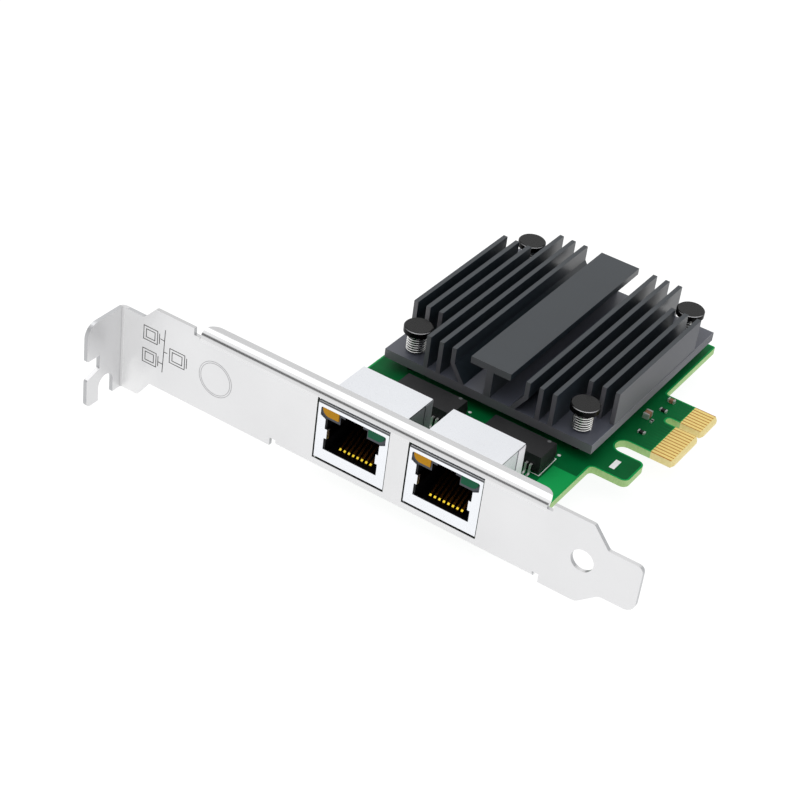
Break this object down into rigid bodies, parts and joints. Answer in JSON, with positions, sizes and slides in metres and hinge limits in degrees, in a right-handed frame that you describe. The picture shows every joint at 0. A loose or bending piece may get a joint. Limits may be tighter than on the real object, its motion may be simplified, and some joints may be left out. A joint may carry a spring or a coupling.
{
  "type": "network interface card",
  "caption": "Two-port network interface card: green board with gold edge connector, black finned heat sink on sprung push pins, shielded modular jacks and a full-height steel bracket.",
  "frame": {"origin": "on the edge connector's tip, at the middle of the key notch's width and of the board's thickness", "axes": "+X the way the card is pushed into its slot, along the bracket from its screw tab to its tongue; +Y from the rear panel into the chassis; +Z out of the component side"},
  "size_m": [0.1198, 0.1011, 0.0224],
  "materials": {
    "board_laminate": "green solder mask over glass-epoxy laminate",
    "edge_gold": "hard gold plating",
    "bracket_steel": "bright satin nickel-plated steel sheet",
    "screw_steel": "plated screw",
    "sink_anodised": "black anodised extrusion",
    "pin_nylon": "black nylon, slightly glossy",
    "spring_steel": "bright spring wire",
    "package_black": "black moulding compound",
    "pad_rubber": "soft grey thermal pad",
    "crystal_can": "metal lid",
    "jack_steel": "tin-plated jack shell",
    "jack_black": "black moulded plastic",
    "contact_gold": "gold-plated spring wire",
    "light_amber": "amber moulded light pipe",
    "light_green": "green moulded light pipe",
    "magnetics_black": "black moulded magnetics",
    "lead_tin": "tinned leads",
    "capacitor_brown": "brown ceramic",
    "resistor_black": "black glazed ceramic"
  },
  "bodies": {
    "root": {"circuit_board": "board_laminate", "edge_contacts": "edge_gold", "full_height_bracket": "bracket_steel", "bracket_screws": "screw_steel", "heat_sink": "sink_anodised", "push_pins": "pin_nylon", "push_pin_springs": "spring_steel", "ethernet_controller": "package_black", "thermal_pad": "pad_rubber", "flash_memory": "package_black", "clock_crystal": "crystal_can", "jack_a_shield": "jack_steel", "jack_a_insulator": "jack_black", "jack_a_contacts": "contact_gold", "jack_a_amber_light": "light_amber", "jack_a_green_light": "light_green", "transformer_a_body": "magnetics_black", "transformer_a_leads": "lead_tin", "jack_b_shield": "jack_steel", "jack_b_insulator": "jack_black", "jack_b_contacts": "contact_gold", "jack_b_amber_light": "light_amber", "jack_b_green_light": "light_green", "transformer_b_body": "magnetics_black", "transformer_b_leads": "lead_tin", "ceramic_capacitors": "capacitor_brown", "chip_resistors": "resistor_black", "chip_terminals": "lead_tin"}
  },
  "joints": []
}
